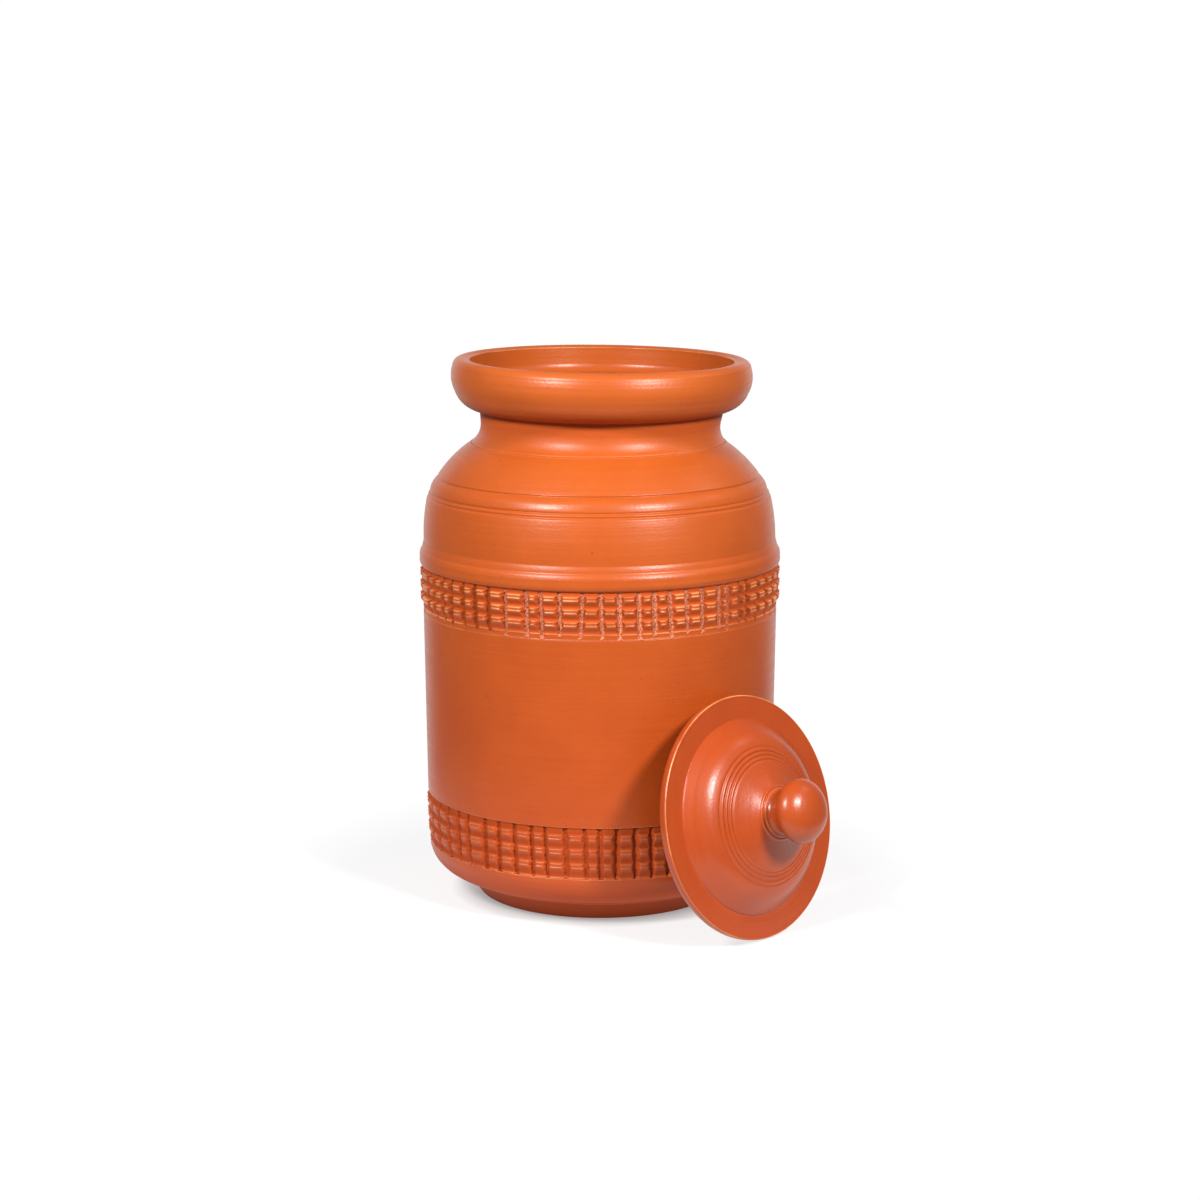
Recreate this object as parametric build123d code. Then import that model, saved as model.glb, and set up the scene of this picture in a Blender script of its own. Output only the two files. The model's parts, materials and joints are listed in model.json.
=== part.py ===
from build123d import *
from math import acos, atan2, cos, degrees, radians, sin, sqrt, tan
import os

# A lidded terracotta storage jar. The lid has been taken off and leans on the jar's wall.
# Millimetres. The origin is the centre of the jar's flat base, +Z is up, and the knob of the
# leaning lid points towards +X. A bulge share is how far a turned outline stands off the straight
# line between two of its points, as a share of that line: positive outward, negative into the clay.

# Lid: a flat brim and a bell-shaped crown with turned grooves, hollow underneath, with a flange that
# drops into the neck
lid_radius = 66.0
brim_thickness = 6.0
brim_edge_radius = 1.5
crown_radius = 53.3
crown_height = 11.5
crown_bulge_share = 0.11
crown_top_radius = 37.3
lid_groove_count = 3
lid_groove_pitch = 2.3
lid_groove_rise = 1.1
lid_groove_depth = 0.6
cone_height = 6.2
cone_bulge_share = -0.06
collar_radius = 15.5
collar_height = 2.4
collar_bulge_share = 0.15
lid_wall = 6.0
lid_hollow_bulge_share = -0.09
flange_depth = 7.7
flange_wall = 6.5
flange_clearance = 2.0
flange_edge_radius = 1.5

# Knob: a flattened ball on a short stem
knob_radius = 17.3
knob_half_height = 11.2
knob_side_radius = 7.5
knob_stem_radius = 11.5
knob_stem_height = 5.8
knob_stem_bulge_share = -0.15

# How the lid leans: its tilt back from upright, and how far round from the flange's top it meets the wall
lid_lean_angle = 13.2
lid_contact_angle = 9.6
lean_clearance = 0.3

# Foot: the slab under the body
foot_height = 11.5
foot_step = 2.5
foot_taper = 8.2

# Body: floor, rounded heel and wall
heel_inset = 17.8
heel_height = 16.0
heel_bulge_share = 0.175
heel_to_band = 2.7
wall_radius = 99.8
wall_middle_inset = 1.4
wall_base_inset = 2.5
wall_height = 103.5
wall_thickness = 8.0
floor_thickness = 9.0
floor_corner = 14.0
floor_corner_bulge_share = -0.2

# Carved bands: strips of beads with notches cut across them, each set in a channel round the wall
band_seat_depth = 4.0
bead_count = 3
bead_bulge_share = 0.21
band_lip_bulge_share = 0.2
upper_bead_pitch = 6.6
upper_band_lip = 4.1
upper_band_gap = 2.1
upper_valley_rise = 0.4
lower_bead_pitch = 8.0
lower_band_lip = 3.4
lower_band_gap = 1.5
lower_valley_rise = -0.7
notch_count = 60
notch_width = 2.2
notch_depth = 1.0
notch_overrun_share = 0.5

# Shoulder: a ridge at its foot, and turned grooves half way up
ridge_height = 13.4
ridge_side_share = 0.4
ridge_rise = 1.4
ridge_bulge_share = 0.1
shoulder_base_inset = 1.05
lower_shoulder_height = 24.8
lower_shoulder_inset = 2.55
lower_shoulder_bulge_share = 0.03
groove_height = 1.4
groove_depth = 0.6
thin_bead_height = 1.0
thin_bead_inset = 1.0
wide_bead_height = 6.4
wide_bead_step = 0.8
wide_bead_inset = 3.1
wide_bead_bulge_share = 0.08
upper_shoulder_step = 1.2
upper_shoulder_height = 18.9
upper_shoulder_bulge_share = 0.085
shoulder_edge = 5.5
shoulder_inside_bulge_share = -0.17

# Neck and rim: the lid drops into the rim and rests on the ledge inside it
lid_ledge_width = 7.0
lid_clearance = 6.5
neck_wall = 7.9
neck_root_flare = 2.9
neck_height = 18.5
neck_bulge_share = -0.07
under_rim_height = 10.4
under_rim_bulge_share = 0.115
rim_wall = 11.1
rim_bottom_inset = 2.2
rim_side_height = 13.4
rim_bulge_share = 0.107
rim_top_inset = 0.7
lip_height = 3.6
lip_drop = 1.8
lip_flare = 2.3
lip_bulge_share = 0.33
ledge_depth = 15.0
ledge_corner = 5.0
ledge_corner_bulge_share = -0.2

# Heights above the surface that the jar stands on, from the foot upwards
heel_top = foot_height + heel_height
lower_band_base = heel_top + heel_to_band
lower_band_top = lower_band_base + lower_band_lip + bead_count * lower_bead_pitch + lower_band_gap
upper_band_base = lower_band_top + wall_height
body_top = upper_band_base + upper_band_lip + bead_count * upper_bead_pitch + upper_band_gap
ridge_top = body_top + ridge_height
grooves_base = ridge_top + lower_shoulder_height
thin_bead_base = grooves_base + groove_height
thin_bead_top = thin_bead_base + thin_bead_height
wide_bead_base = thin_bead_top + groove_height
wide_bead_top = wide_bead_base + wide_bead_height
upper_shoulder_base = wide_bead_top + groove_height
neck_root = upper_shoulder_base + upper_shoulder_height
under_rim = neck_root + neck_height
rim_side_base = under_rim + under_rim_height
rim_side_top = rim_side_base + rim_side_height
lip_top = rim_side_top + lip_height

# Radii that follow the lid
neck_bore_radius = lid_radius - lid_ledge_width
neck_radius = neck_bore_radius + neck_wall
neck_root_radius = neck_radius + neck_root_flare
flange_radius = neck_bore_radius - flange_clearance
mouth_radius = lid_radius + lid_clearance
rim_radius = mouth_radius + rim_wall

# Radii that follow the wall, stepping in down to the foot
wall_middle_radius = wall_radius - wall_middle_inset
wall_base_radius = wall_radius - wall_base_inset
body_inner_radius = wall_radius - wall_thickness
heel_radius = wall_base_radius - heel_inset
foot_top_radius = heel_radius - foot_step
foot_bottom_radius = foot_top_radius - foot_taper

# Radii that follow the wall, stepping in up the shoulder
ridge_radius = wall_radius + ridge_rise
shoulder_base_radius = wall_radius - shoulder_base_inset
grooves_radius = shoulder_base_radius - lower_shoulder_inset
thin_bead_radius = grooves_radius - thin_bead_inset
wide_bead_radius = thin_bead_radius - wide_bead_step
wide_bead_top_radius = wide_bead_radius - wide_bead_inset
upper_shoulder_radius = wide_bead_top_radius - upper_shoulder_step

# Heights on the lid, in its own frame, from the underside of its brim
lid_grooves_base = brim_thickness + crown_height
cone_base = lid_grooves_base + lid_groove_count * lid_groove_rise
collar_base = cone_base + cone_height
collar_top = collar_base + collar_height
cone_base_radius = crown_top_radius - lid_groove_count * lid_groove_pitch

# A quarter of a circle stands this share of its chord off the chord
quarter_round_share = tan(radians(90 / 4)) / 2


def stretch(start, end, bulge_share):
    """One stretch of an outline: straight, or an arc that bulges to the right of its direction."""
    if bulge_share == 0:
        return Line(start, end)
    along = Vector(*end) - Vector(*start)
    middle = (Vector(*start) + Vector(*end)) / 2
    return ThreePointArc(start, middle + Vector(along.Y, -along.X) * bulge_share, end)


def outline(steps):
    """Stretches from each step to the next. A step is (radius, height, bulge share of what leaves it)."""
    return [stretch(here[:2], there[:2], here[2]) for here, there in zip(steps, steps[1:])]


def turned(edges):
    """A solid turned on the wheel: a closed outline of radius and height, spun about Z."""
    return Rot(90, 0, 0) * revolve(make_face(edges), Axis.Y)


def turned_through(steps):
    """A solid turned from steps that close on the first one."""
    return turned(outline(steps + steps[:1]))


def wall_at(height):
    """Outer radius of the plain wall at a height between the two bands."""
    share = (height - lower_band_top) / wall_height
    return wall_middle_radius + (wall_radius - wall_middle_radius) * share


def make_foot():
    return turned_through([
        (0, 0, 0),
        (foot_bottom_radius, 0, 0),
        (foot_top_radius, foot_height, 0),
        (0, foot_height, 0),
    ])


def make_body():
    floor_top = foot_height + floor_thickness
    floor_radius = wall_base_radius - wall_thickness
    return turned_through([
        (0, foot_height, 0),
        (heel_radius, foot_height, heel_bulge_share),
        (wall_base_radius, heel_top, 0),
        (wall_base_radius, lower_band_base, 0),
        (wall_base_radius - band_seat_depth, lower_band_base, 0),
        (wall_middle_radius - band_seat_depth, lower_band_top, 0),
        (wall_middle_radius, lower_band_top, 0),
        (wall_radius, upper_band_base, 0),
        (wall_radius - band_seat_depth, upper_band_base, 0),
        (wall_radius - band_seat_depth, body_top, 0),
        (body_inner_radius, body_top, 0),
        (floor_radius, floor_top + floor_corner, floor_corner_bulge_share),
        (floor_radius - floor_corner, floor_top, 0),
        (0, floor_top, 0),
    ])


def make_band(base, base_radius, top_radius, lip, pitch, gap, valley_rise):
    """A strip of beads over a narrow lip, tapered as the wall is, with notches cut all round it."""
    beads_base = base + lip
    beads_top = beads_base + bead_count * pitch
    top = beads_top + gap
    steps = [
        (top_radius, top, 0),
        (top_radius - band_seat_depth, top, 0),
        (base_radius - band_seat_depth, base, 0),
        (base_radius, base, band_lip_bulge_share),
    ]
    for bead in range(bead_count + 1):
        height = beads_base + bead * pitch
        valley_radius = base_radius + (top_radius - base_radius) * (height - base) / (top - base) + valley_rise
        steps.append((valley_radius, height, bead_bulge_share if bead < bead_count else 0))
    notch_base = base + lip * notch_overrun_share
    notch_top = beads_top + gap * notch_overrun_share
    notch_floor = base_radius + valley_rise - notch_depth
    notch_reach = top_radius + pitch - notch_floor
    notch = Box(
        notch_reach, notch_width, notch_top - notch_base, align=(Align.MIN, Align.CENTER, Align.MIN)
    )
    cutters = [Pos(0, 0, notch_base) * place * notch for place in PolarLocations(notch_floor, notch_count)]
    return turned_through(steps) - cutters


def make_shoulder():
    return turned_through([
        (body_inner_radius, body_top, 0),
        (ridge_radius, body_top, 0),
        (ridge_radius, body_top + ridge_height * ridge_side_share, ridge_bulge_share),
        (shoulder_base_radius, ridge_top, lower_shoulder_bulge_share),
        (grooves_radius, grooves_base, 0),
        (thin_bead_radius - groove_depth, (grooves_base + thin_bead_base) / 2, 0),
        (thin_bead_radius, thin_bead_base, 0),
        (thin_bead_radius, thin_bead_top, 0),
        (wide_bead_radius - groove_depth, (thin_bead_top + wide_bead_base) / 2, 0),
        (wide_bead_radius, wide_bead_base, wide_bead_bulge_share),
        (wide_bead_top_radius, wide_bead_top, 0),
        (upper_shoulder_radius - groove_depth, (wide_bead_top + upper_shoulder_base) / 2, 0),
        (upper_shoulder_radius, upper_shoulder_base, upper_shoulder_bulge_share),
        (neck_root_radius, neck_root, 0),
        (neck_bore_radius, neck_root, 0),
        (neck_bore_radius, neck_root - shoulder_edge, shoulder_inside_bulge_share),
        (body_inner_radius, ridge_top + wall_thickness, 0),
    ])


def make_neck():
    ledge = lip_top - ledge_depth
    return turned_through([
        (neck_bore_radius, neck_root, 0),
        (neck_root_radius, neck_root, neck_bulge_share),
        (neck_radius, under_rim, under_rim_bulge_share),
        (rim_radius - rim_bottom_inset, rim_side_base, rim_bulge_share),
        (rim_radius - rim_top_inset, rim_side_top, lip_bulge_share),
        (mouth_radius + lip_flare, lip_top - lip_drop, 0),
        (mouth_radius, ledge + ledge_corner, ledge_corner_bulge_share),
        (mouth_radius - ledge_corner, ledge, 0),
        (neck_bore_radius, ledge, 0),
    ])


def make_lid():
    """The lid in its own frame: its axis on Z, the underside of its brim at height zero."""
    steps = [
        (lid_radius - brim_edge_radius, 0, quarter_round_share),
        (lid_radius, brim_edge_radius, 0),
        (lid_radius, brim_thickness - brim_edge_radius, quarter_round_share),
        (lid_radius - brim_edge_radius, brim_thickness, 0),
        (crown_radius, brim_thickness, crown_bulge_share),
    ]
    for groove in range(lid_groove_count):
        radius = crown_top_radius - groove * lid_groove_pitch
        height = lid_grooves_base + groove * lid_groove_rise
        steps.append((radius, height, 0))
        steps.append((radius - lid_groove_pitch / 2, height + lid_groove_rise / 2 - lid_groove_depth, 0))
    steps += [
        (cone_base_radius, cone_base, cone_bulge_share),
        (collar_radius, collar_base, collar_bulge_share),
        (knob_stem_radius, collar_top, 0),
        (0, collar_top, 0),
        (0, collar_base - lid_wall, 0),
        (collar_radius, collar_base - lid_wall, 0),
        (cone_base_radius, cone_base - lid_wall, lid_hollow_bulge_share),
        (crown_radius - lid_wall, 0, 0),
        (flange_radius - flange_wall, -flange_depth, 0),
        (flange_radius - flange_edge_radius, -flange_depth, quarter_round_share),
        (flange_radius, flange_edge_radius - flange_depth, 0),
        (flange_radius, 0, 0),
    ]
    return turned_through(steps)


def make_knob():
    """The knob in the lid's frame, standing on the lid's collar: a flattened ball, round at its side."""
    side_centre = knob_radius - knob_side_radius
    cap_radius = (side_centre**2 + knob_half_height**2 - knob_side_radius**2) / (
        2 * (knob_half_height - knob_side_radius)
    )
    below = acos((knob_stem_radius - side_centre) / knob_side_radius)
    above = atan2(cap_radius - knob_half_height, side_centre)
    stem_top = collar_top + knob_stem_height
    middle = stem_top + knob_side_radius * sin(below)
    stem = outline([
        (0, middle + knob_half_height, 0),
        (0, collar_top, 0),
        (knob_stem_radius, collar_top, knob_stem_bulge_share),
        (knob_stem_radius, stem_top, 0),
    ])
    side = CenterArc((side_centre, middle), knob_side_radius, -degrees(below), degrees(below + above))
    cap_centre = middle + knob_half_height - cap_radius
    cap = CenterArc((0, cap_centre), cap_radius, degrees(above), 90 - degrees(above))
    return turned(stem + [side, cap])


def lid_place():
    """Where the lid leans: its brim's back edge touches the floor, and its flange all but touches the wall."""
    lean = radians(lid_lean_angle)
    contact = radians(lid_contact_angle)
    brim_ring = lid_radius - brim_edge_radius
    brim_ring_height = brim_edge_radius + brim_ring * cos(lean)
    flange_ring = flange_radius - flange_edge_radius
    flange_along = flange_edge_radius - flange_depth
    flange_ring_height = brim_ring_height + (flange_along - brim_edge_radius) * sin(lean)
    contact_height = flange_ring_height + flange_ring * cos(contact) * cos(lean)
    contact_radius = wall_at(contact_height) + lean_clearance + flange_edge_radius
    contact_x = contact_radius / sqrt(1 + (sin(lean) * tan(contact)) ** 2)
    contact_y = -contact_x * sin(lean) * tan(contact)
    flange_centre = Vector(
        contact_x + flange_ring * cos(contact) * sin(lean),
        contact_y - flange_ring * sin(contact),
        flange_ring_height,
    )
    brim_centre = flange_centre - Vector(cos(lean), 0, sin(lean)) * flange_along
    return Pos(*brim_centre) * Rot(0, 90 - lid_lean_angle, 0)


leaning = lid_place()
nodes = {
    "foot": make_foot(),
    "body": make_body(),
    "lower_band": make_band(
        lower_band_base, wall_base_radius, wall_middle_radius,
        lower_band_lip, lower_bead_pitch, lower_band_gap, lower_valley_rise,
    ),
    "upper_band": make_band(
        upper_band_base, wall_radius, wall_radius,
        upper_band_lip, upper_bead_pitch, upper_band_gap, upper_valley_rise,
    ),
    "shoulder": make_shoulder(),
    "neck": make_neck(),
    "lid": leaning * make_lid(),
    "lid_knob": leaning * make_knob(),
}
os.makedirs("parts", exist_ok=True)
for name, solid in nodes.items():
    export_step(solid, f"parts/{name}.step")
print("middle of the brim's underside", leaning.position)
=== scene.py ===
import json
from math import atan, ceil, cos, pi, radians, sin

import bpy
import numpy as np
from mathutils import Matrix, Vector


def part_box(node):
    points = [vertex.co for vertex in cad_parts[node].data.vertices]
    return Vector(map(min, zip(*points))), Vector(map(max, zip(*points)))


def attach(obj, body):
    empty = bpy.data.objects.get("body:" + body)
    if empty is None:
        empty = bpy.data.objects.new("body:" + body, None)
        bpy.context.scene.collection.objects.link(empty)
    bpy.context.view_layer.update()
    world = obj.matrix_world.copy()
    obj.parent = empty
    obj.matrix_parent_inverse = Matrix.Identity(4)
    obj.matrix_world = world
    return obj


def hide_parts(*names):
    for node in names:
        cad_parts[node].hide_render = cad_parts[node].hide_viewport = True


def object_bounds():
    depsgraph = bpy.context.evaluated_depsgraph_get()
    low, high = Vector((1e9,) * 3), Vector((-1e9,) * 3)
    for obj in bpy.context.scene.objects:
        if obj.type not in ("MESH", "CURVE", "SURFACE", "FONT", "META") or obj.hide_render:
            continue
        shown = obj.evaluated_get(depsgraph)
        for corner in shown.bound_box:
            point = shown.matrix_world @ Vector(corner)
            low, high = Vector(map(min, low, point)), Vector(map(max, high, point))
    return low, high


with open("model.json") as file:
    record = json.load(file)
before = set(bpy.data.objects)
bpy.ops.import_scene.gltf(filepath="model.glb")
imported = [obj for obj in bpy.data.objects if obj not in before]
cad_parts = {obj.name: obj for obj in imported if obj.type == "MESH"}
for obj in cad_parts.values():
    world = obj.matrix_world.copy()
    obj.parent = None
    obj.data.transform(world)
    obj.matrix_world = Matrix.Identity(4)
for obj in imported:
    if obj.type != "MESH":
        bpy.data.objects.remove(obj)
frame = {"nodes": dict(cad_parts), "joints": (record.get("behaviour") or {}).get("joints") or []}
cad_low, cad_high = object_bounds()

# A burnished terracotta storage jar with two carved bands, and its lid leaning on the wall. Lengths are
# in millimetres. Angles are in degrees, or in radians where radians() or a comment makes them so.
# Meshes are made in metres, in the frame's axes.
MM = 0.001

# Camera, fitted to the photograph: its pixels are those of the square picture
PICTURE_PX = 1200
FOCAL_PX = 2761
SENSOR_WIDTH = 36.0
CAMERA_AZIMUTH = 43.93
CAMERA_PITCH = 10.415
CAMERA_DISTANCE = 1539.6
CAMERA_HEIGHT = 449.5
FRONT_ANGLE = radians(CAMERA_AZIMUTH - 90)
AIMING_ROUNDS = 30

# How the turned outlines become rows of a mesh
DENSE_STEP = 0.1
LEAST_STEP = 0.01
EDGE_ROUNDING = 0.22
ROUNDINGS_REACHED = 4
FINISHED_ROW = 1.0
ROUGH_ROW = 3.4
TURN_PER_ROW = radians(8)
COLUMNS = 288

# Handmade: the jar leans a little above its wall, its rim is tilted by small slopes, it is a little
# oval, and its lines wander round it from a start in radians
LEAN_HEIGHTS = (190.0, 240.0, 255.0, 262.0, 272.0, 300.0)
LEAN_SHIFTS = (0.0, -0.9, -1.4, -0.1, 0.8, 1.1)
RIM_TILT_HEIGHTS = (250.0, 300.0)
RIM_TILT_SIDE = -0.015
RIM_TILT_BACK = 0.008
OVAL = 0.25
LINE_WANDER = 0.25
WANDER_BASE = 140.0
WANDER_START = 1.0
WANDER_TWICE_SHARE = 0.5

# Marks of the wheel: fine ones on the finished faces, which drift by some radians round the jar, and
# throwing rings where the clay is nearly all raw
MARK_HEIGHT = 0.010
MARK_PITCHES = (2.6, 3.9, 7.3)
MARK_DRIFT = 2.5
MARK_FADE_RADIUS = 3.4
THROWING_RING_HEIGHT = 0.35
THROWING_RING_PITCH = 8.5
THROWING_RING_RAW = 0.9

# Pale convex edges, partly wear and partly painted highlight: how sharply they turn, in radians a
# millimetre
WEAR_AND_HIGHLIGHT_TURNS = (0.9, 1.6)
WEAR_AND_HIGHLIGHT_SHARES = {"neck": 0.4, "body": 0.6, "lid": 0.8, "upper_band": 1.0, "lower_band": 0.25}

# Where the burnishing did not reach: under the heel, and in the throat under the rim. The lid was
# rubbed more than the jar, so its dullness is below zero.
HEEL_DULLNESS = 0.8
HEEL_TOP = 30.0
HEEL_MIDDLE = 18.0
THROAT_DULLNESS = 0.8
THROAT_HEIGHT = 274.0
THROAT_REACH = 9.0
LID_GLOSS = 0.08

# How much of the gritty raw clay shows on the unburnished inner faces
INSIDE_RAW_SHARE = 0.3

# Painted shade: the cup inside the rim is darkened
CUP_RADII = (76.0, 74.0)
CUP_HEIGHTS = (286.0, 288.0)
CUP_SHADE_TONE = 0.88

# Turned outlines. Each step is (radius, height, bulge share of the stretch that leaves it, raw share).
# A stretch with a bulge is an arc: positive outward, negative into the clay.
FOOT_OUTLINE = [
    (0, 0, 0, 1.0),
    (68.3, 0, 0, 0.5),
    (69.2, 0.6, 0, 0),
    (77.0, 11.5, 0, 1.0),
    (0, 11.5, 0, 1.0),
]
BODY_OUTLINE = [
    (0, 11.5, 0, 1.0),
    (80.5, 11.5, 0.1, 0.1),
    (81.1, 12.8, 0.165, 0),
    (97.3, 27.5, 0, 0),
    (97.3, 30.2, 0, 1.0),
    (93.3, 30.2, 0, 1.0),
    (94.4, 59.1, 0, 1.0),
    (98.35, 59.1, 0, 0),
    (99.8, 162.6, 0, 1.0),
    (95.8, 162.6, 0, 1.0),
    (95.8, 188.6, 0, 1.0),
    (91.8, 188.6, 0, 1.0),
    (89.3, 34.5, -0.2, 1.0),
    (75.3, 20.5, 0, 1.0),
    (0, 20.5, 0, 1.0),
]
SHOULDER_OUTLINE = [
    (91.8, 188.6, 0, 1.0),
    (99.8, 188.6, 0.16, 0),
    (101.7, 192.2, 0, 0),
    (101.6, 194.0, 0.1, 0),
    (100.2, 198.4, 0, 0),
    (100.05, 198.8, 0, 0),
    (100.0, 199.2, 0.03, 0),
    (99.1, 202.5, 0.03, 0),
    (96.6, 226.8, 0, 0),
    (95.6, 227.7, 0, 0),
    (95.7, 228.4, 0.2, 0),
    (95.4, 229.4, 0, 0),
    (94.4, 230.1, 0, 0),
    (94.7, 230.8, 0.09, 0),
    (91.3, 237.2, 0, 0),
    (89.8, 238.2, 0, 0),
    (90.1, 239.0, 0.045, 0),
    (72.2, 256.6, 0.2, 0.1),
    (71.2, 257.3, 0, 1.0),
    (59.0, 257.3, 0, 1.0),
    (59.0, 251.8, -0.17, 1.0),
    (91.8, 210.0, 0, 1.0),
]
NECK_OUTLINE = [
    (59.0, 257.3, 0, 1.0),
    (71.2, 257.3, 0, 0.1),
    (70.8, 257.8, -0.12, 0),
    (67.3, 268.5, 0, 0),
    (68.3, 275.2, 0.15, 0),
    (82.1, 285.4, 0.1, 0),
    (83.5, 299.4, 0.28, 0),
    (76.2, 303.0, 0, 0),
    (75.2, 302.7, 0.1, 0),
    (74.5, 302.9, 0.3, 0),
    (73.9, 302.0, 0, 0),
    (73.6, 293.2, -0.2, 0),
    (67.5, 288.2, 0, 0.2),
    (60.2, 288.2, 0.2, 0.5),
    (59.0, 287.0, 0, 1.0),
]
FLANGE_DEPTH = 7.7
LID_OUTLINE = [
    (0, 21.0, 0, 0.7),
    (15.5, 21.0, 0.06, 0.7),
    (30.4, 14.8, -0.09, 0.7),
    (47.3, 0, 0, 0.6),
    (50.5, -7.0, 0.2, 0.5),
    (51.6, -7.7, 0, 0.5),
    (55.5, -7.7, 0.2, 0.3),
    (57.0, -6.2, 0, 0.3),
    (57.0, 0, 0, 0.1),
    (62.8, 0, 0.2, 0),
    (66.0, 3.4, 0.04, 0),
    (66.0, 5.3, 0.2, 0),
    (65.4, 6.1, 0, 0),
    (64.8, 6.0, 0, 0),
    (53.0, 6.0, 0, 0),
    (52.6, 6.8, 0, 0),
    (46.0, 13.4, 0.066, 0),
    (38.0, 18.0, 0, 0),
    (37.1, 17.9, 0, 0),
    (36.6, 18.4, 0.2, 0),
    (35.0, 18.8, 0, 0),
    (34.6, 18.6, 0, 0),
    (34.1, 19.2, 0.2, 0),
    (32.7, 19.6, 0, 0),
    (32.3, 19.4, 0, 0),
    (31.8, 20.0, 0.2, 0),
    (30.5, 20.5, 0, 0),
    (30.0, 20.4, 0, 0),
    (29.4, 21.0, -0.02, 0),
    (15.0, 26.9, 0.25, 0),
    (14.0, 28.0, -0.1, 0),
    (13.3, 28.2, 0.25, 0),
    (12.5, 29.4, 0, 1.0),
    (0, 29.4, 0, 1.0),
]
KNOB_STEM_OUTLINE = [
    (0, 29.4, 0, 1.0),
    (12.5, 29.4, 0, 0),
    (11.9, 29.9, -0.12, 0),
    (11.8, 35.4, -0.1, 0),
]
KNOB_RADIUS = 17.3
KNOB_INNER_HEIGHT = 7.6
KNOB_OUTER_HEIGHT = 11.2
KNOB_MIDDLE = 42.5
KNOB_JOIN_RADIUS = 13.2
KNOB_STEPS = 48
KNOB_LEAN_HEIGHTS = (20.0, 29.0)
KNOB_LEAN = 1.4

# Carving. The beads of both bands have a narrow crest between two fine edges. Below a crest the hollow
# deepens slowly, then steps out to the next crest. Under the lowest hollow the lip steps out to the wall.
CREST_EDGE_RISE = 0.3
CREST_EDGE_WIDTH = 0.32
HOLLOW_FALL_SHARE = 0.72
HOLLOW_STEP_SHARE = 0.86
LIP_LEDGE = 0.4
BEAD_ROWS = 3
BAND_SEAT_DEPTH = 4.0
HOLLOW_ROW_SHARES = (0.06, 0.14, 0.26, 0.4, 0.55, 0.7, 0.82, 0.88, 0.94)
LIP_ROWS = (0, 0.13, 0.27, 0.4)
CREST_ROW_SHARES = (-1.0, -0.82, -0.6, 0, 0.6, 0.82, 1.0)
PLAIN_ROW = 0.35
ROW_DECIMALS = 3

# Notches: gouged through the beads, with a steep left side that is bevelled at its top, a floor that
# rises to a sloping right side, and burrs where the tool left the clay. Each notch differs from the
# others within the spans given here. Grit and raw clay reach a little way up from the floor, and the
# raw clay shows between two angles from the front.
NOTCH_SPREAD_SHARES = (0.8, 1.2)
NOTCH_WALL_SLOPES = (3.0, 5.0)
NOTCH_WALL_HEIGHT = 1.1
NOTCH_BEVEL_SLOPES = (0.7, 1.3)
NOTCH_FLANK_SLOPES = (1.0, 1.7)
NOTCH_FLOOR_RISE = 0.4
NOTCH_TILT = -0.03
NOTCH_TILT_SPREAD = 0.025
NOTCH_WAVES = (6.3, 2.7)
NOTCH_WAVE_HEIGHT = 0.16
NOTCH_GAP = 6.1
NOTCH_GAP_SPREAD_SHARE = 0.14
NOTCH_END_SHARES = (0.1, 0.6)
NOTCH_END_SLOPE = 0.9
CUT_BLENDS = 3
GRIT_REACH = 0.6
RAW_REACH = 0.9
TORN_LEFT = (radians(-38), radians(-28))
TORN_RIGHT = (radians(54), radians(36))
BURR_HEIGHT = 0.65
BURR_SIZE = 0.75
BURR_SHARES = (0.3, 1.0)
BURR_ROUGH_SHARES = (0.5, 1.0)
EDGE_BURR_HEIGHT = 0.1
EDGE_BURR_BLENDS = 2
LIP_RAGGED = 0.3
NOTCH_COLUMNS = (0, 0.4, 0.8, 1.1, 1.4, 1.75, 2.15, 2.6, 3.2)
BETWEEN_COLUMN = 1.3
SEED = 11

# Where the photograph shows the notches, left to right, in its pixels
UPPER_NOTCHES_PX = [
    422, 429, 435, 442.5, 450, 462, 474, 487.5, 504, 525, 540, 559,
    581, 601.5, 620, 640, 656, 672, 689, 704.5, 722, 730, 741.5, 749,
]
LOWER_NOTCHES_PX = [
    433, 439, 448, 458, 468, 484, 498, 514, 531, 545, 565, 585, 600, 617, 636, 652.5, 669,
]

# The two bands. Rises and depths are from the wall, whose radius is given at the band's base and top.
# The lip is the plain part under the beads. A blend is how softly a notch meets the beads. The raw
# share says how raw a notch is. The cut shade and the hollow shade tone paint shade into the notches and
# the hollows.
BANDS = {
    "upper_band": {
        "wall": (99.8, 99.8), "lip": 5.5, "pitch": 6.85,
        "valley": -0.3, "crest": 1.5, "half_crest": 0.92, "lip_rise": -0.2, "hollow_shade_tone": 0.97,
        "half_floor": 0.95, "depth": 0.8, "blend": 0.16, "grit": 0.16,
        "raw_share": 1.0, "cut_shade": 0.3, "notches_px": UPPER_NOTCHES_PX,
    },
    "lower_band": {
        "wall": (97.3, 98.4), "lip": 3.4, "pitch": 8.0,
        "valley": -0.7, "crest": 0.5, "half_crest": 1.05, "lip_rise": -0.2, "hollow_shade_tone": 0.8,
        "half_floor": 0.55, "depth": 1.6, "blend": 0.26, "grit": 0.05,
        "raw_share": 0.1, "cut_shade": 0.1, "notches_px": LOWER_NOTCHES_PX,
    },
}
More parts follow.
